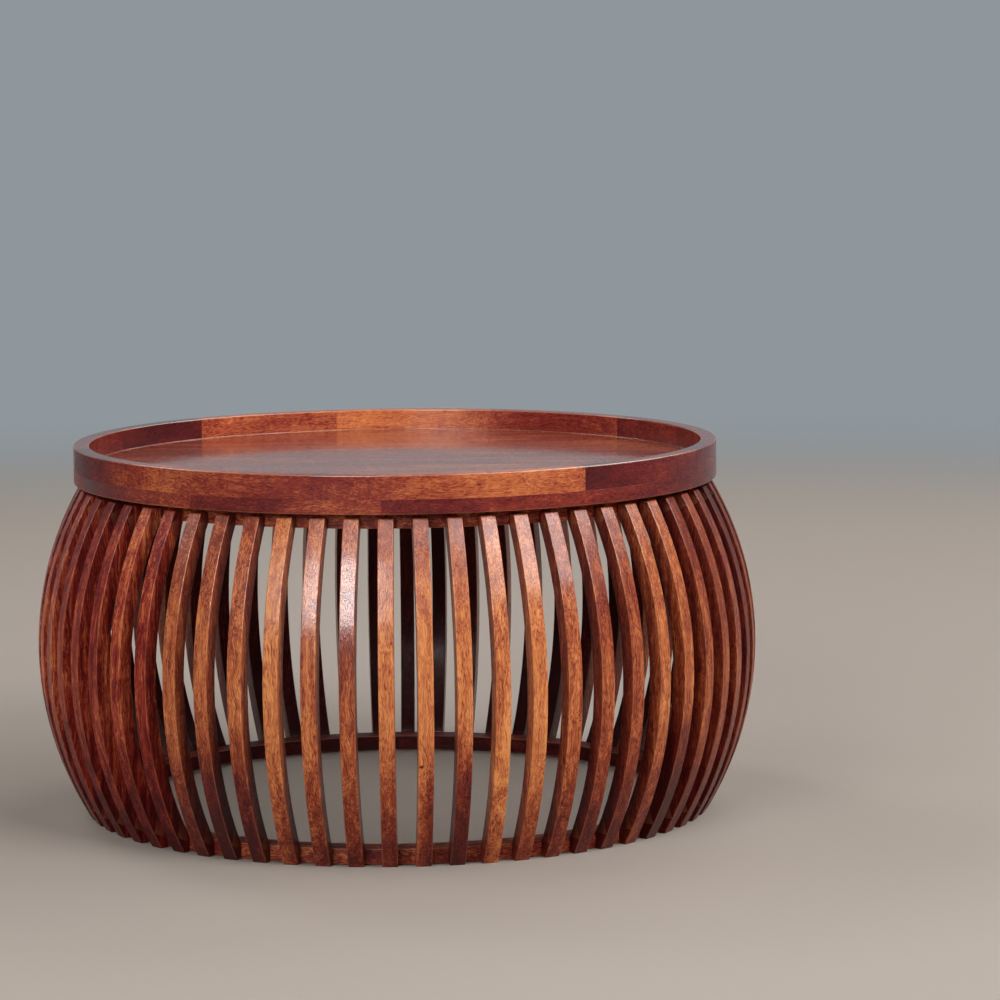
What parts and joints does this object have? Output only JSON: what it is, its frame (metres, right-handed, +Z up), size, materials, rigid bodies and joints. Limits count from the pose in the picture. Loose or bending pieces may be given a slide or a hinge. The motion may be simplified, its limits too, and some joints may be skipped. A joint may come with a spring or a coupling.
{
  "type": "drum coffee table",
  "caption": "Round drum-shaped low table: curved wooden slats with open gaps stand round two hoops and carry a tray top with a raised two-course rim",
  "frame": {"origin": "centre of the ring of slat feet, on the floor", "axes": "+Z up along the drum axis; -Y is the side towards the camera in the picture"},
  "size_m": [0.7802, 0.78, 0.4],
  "materials": {
    "slat_wood": "red-brown stained hardwood, satin lacquer",
    "rim_wood": "red-brown stained hardwood, satin lacquer, tone differs from block to block",
    "panel_wood": "red-brown stained hardwood, glossy lacquer",
    "hoop_wood": "red-brown stained hardwood, satin lacquer"
  },
  "bodies": {
    "root": {"bottom_hoop": "hoop_wood", "rim_lower_01": "rim_wood", "rim_lower_02": "rim_wood", "rim_lower_03": "rim_wood", "rim_lower_04": "rim_wood", "rim_lower_05": "rim_wood", "rim_lower_06": "rim_wood", "rim_lower_07": "rim_wood", "rim_lower_08": "rim_wood", "rim_lower_09": "rim_wood", "rim_lower_10": "rim_wood", "rim_lower_11": "rim_wood", "rim_upper_01": "rim_wood", "rim_upper_02": "rim_wood", "rim_upper_03": "rim_wood", "rim_upper_04": "rim_wood", "rim_upper_05": "rim_wood", "rim_upper_06": "rim_wood", "rim_upper_07": "rim_wood", "rim_upper_08": "rim_wood", "rim_upper_09": "rim_wood", "rim_upper_10": "rim_wood", "rim_upper_11": "rim_wood", "slat_pair_01": "slat_wood", "slat_pair_02": "slat_wood", "slat_pair_03": "slat_wood", "slat_pair_04": "slat_wood", "slat_pair_05": "slat_wood", "slat_pair_06": "slat_wood", "slat_pair_07": "slat_wood", "slat_pair_08": "slat_wood", "slat_pair_09": "slat_wood", "slat_pair_10": "slat_wood", "slat_pair_11": "slat_wood", "slat_pair_12": "slat_wood", "slat_pair_13": "slat_wood", "slat_pair_14": "slat_wood", "slat_pair_15": "slat_wood", "slat_pair_16": "slat_wood", "slat_pair_17": "slat_wood", "slat_pair_18": "slat_wood", "slat_pair_19": "slat_wood", "slat_pair_20": "slat_wood", "slat_pair_21": "slat_wood", "slat_pair_22": "slat_wood", "slat_pair_23": "slat_wood", "slat_pair_24": "slat_wood", "slat_pair_25": "slat_wood", "slat_pair_26": "slat_wood", "slat_pair_27": "slat_wood", "slat_pair_28": "slat_wood", "slat_pair_29": "slat_wood", "slat_pair_30": "slat_wood", "slat_pair_31": "slat_wood", "tray_panel": "panel_wood", "upper_hoop": "hoop_wood"}
  },
  "joints": []
}
